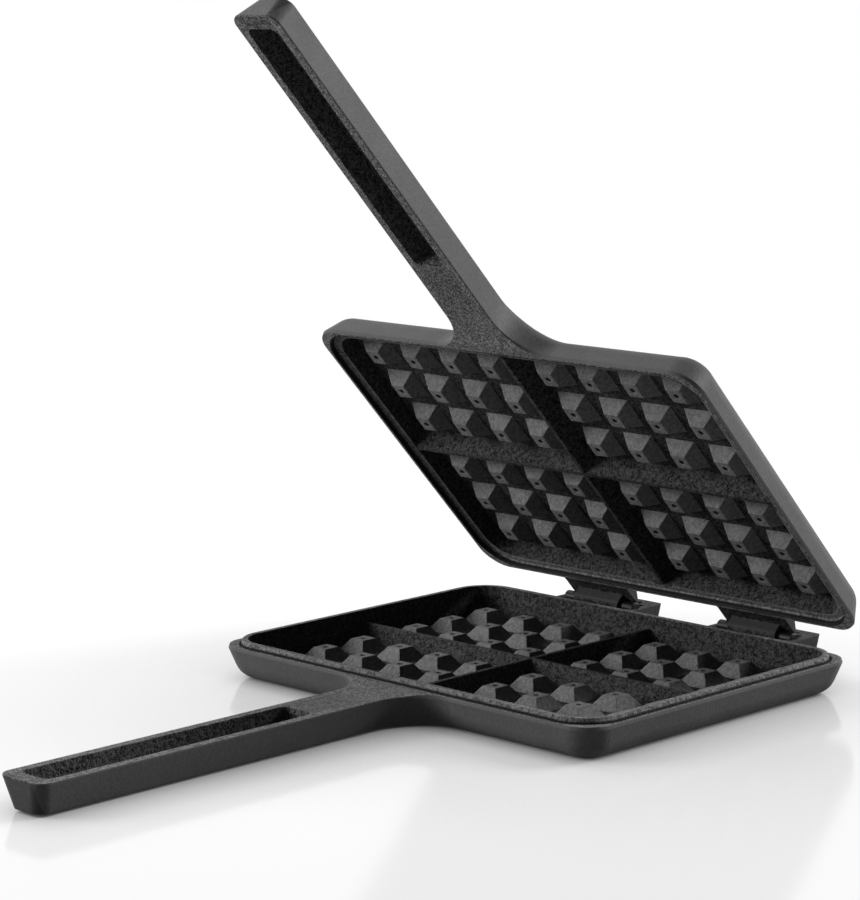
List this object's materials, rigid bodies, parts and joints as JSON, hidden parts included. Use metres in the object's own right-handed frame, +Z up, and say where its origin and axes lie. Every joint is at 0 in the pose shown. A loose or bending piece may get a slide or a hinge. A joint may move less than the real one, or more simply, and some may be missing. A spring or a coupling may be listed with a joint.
{
  "type": "stovetop waffle iron",
  "caption": "Hinged cast iron waffle iron for a stove, with shallow rectangular plates, a grid of pegs in each, long straight handles and a hinge that lifts apart",
  "frame": {"origin": "centre of the flat underside that the lower plate rests on, in the middle between the handle side and the hinge side of the plate", "axes": "+X along the hinge line, to the right when seen from the handles; +Y from the handles to the hinge; +Z up"},
  "size_m": [0.1962, 0.3482, 0.2654],
  "materials": {
    "lower_iron": "matt black, sand cast and seasoned",
    "upper_iron": "matt black, sand cast and seasoned",
    "pin_steel": "drawn rod, dark with seasoning"
  },
  "bodies": {
    "lower_half": {"lower_half": "lower_iron"},
    "hinge_pins": {"hinge_pin_left": "pin_steel", "hinge_pin_right": "pin_steel"},
    "upper_half": {"upper_half": "upper_iron"}
  },
  "joints": [
    {"name": "lift_off", "type": "slide", "parent": "lower_half", "child": "hinge_pins", "axis": [0, 0, 1], "range_m": [0, 0.04]},
    {"name": "lid_hinge", "type": "hinge", "parent": "hinge_pins", "child": "upper_half", "pos_m": [0, 0.0865, 0.0125], "axis": [-1, 0, 0], "range_deg": [-47.3, 55]}
  ]
}
